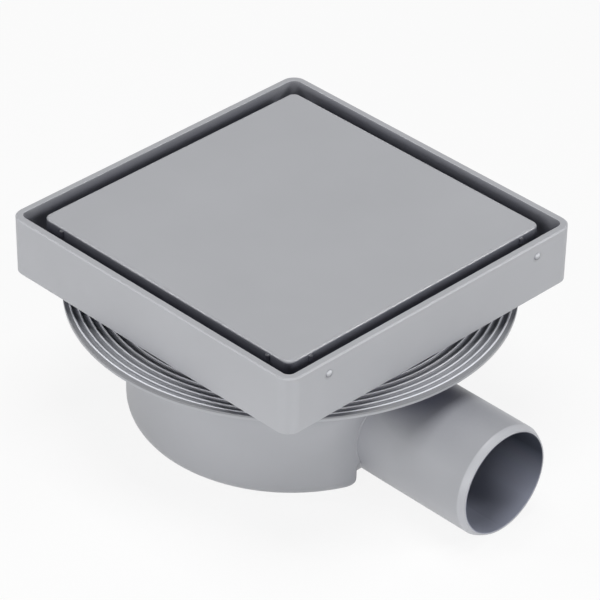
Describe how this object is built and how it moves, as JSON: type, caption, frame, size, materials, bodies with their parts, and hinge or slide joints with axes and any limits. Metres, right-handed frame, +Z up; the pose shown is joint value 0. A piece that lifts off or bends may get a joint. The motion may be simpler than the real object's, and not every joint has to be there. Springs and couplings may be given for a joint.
{
  "type": "gully trap",
  "caption": "Low round gully trap with a ribbed sealing flange, a square tray on a height-adjustable neck, a solid lift-out cover, a water trap and a horizontal outlet spigot.",
  "frame": {"origin": "on the pot's axis, at the underside of its base", "axes": "+X along the outlet spigot towards its end, +Z up along the pot's axis"},
  "size_m": [0.2189, 0.1902, 0.0935],
  "materials": {
    "pot_plastic": "satin grey moulded plastic",
    "tray_plastic": "satin grey moulded plastic",
    "cover_plastic": "satin grey moulded plastic",
    "strainer_plastic": "satin light grey moulded plastic",
    "trap_plastic": "satin light grey moulded plastic",
    "seal_rubber": "matt black rubber"
  },
  "bodies": {
    "gully": {"body": "pot_plastic"},
    "seal": {"neck_seal": "seal_rubber"},
    "tray": {"frame": "tray_plastic", "cover_plate": "cover_plastic", "hair_strainer": "strainer_plastic", "trap_funnel": "trap_plastic", "trap_seal": "seal_rubber", "trap_cup": "trap_plastic"}
  },
  "joints": [
    {"name": "height_adjust", "type": "slide", "parent": "gully", "child": "seal", "axis": [0, 0, 1], "range_m": [-0.0035, 0.0045]},
    {"name": "tray_turn", "type": "hinge", "parent": "seal", "child": "tray", "pos_m": [0, 0, 0.055], "axis": [0, 0, 1], "continuous": true}
  ]
}
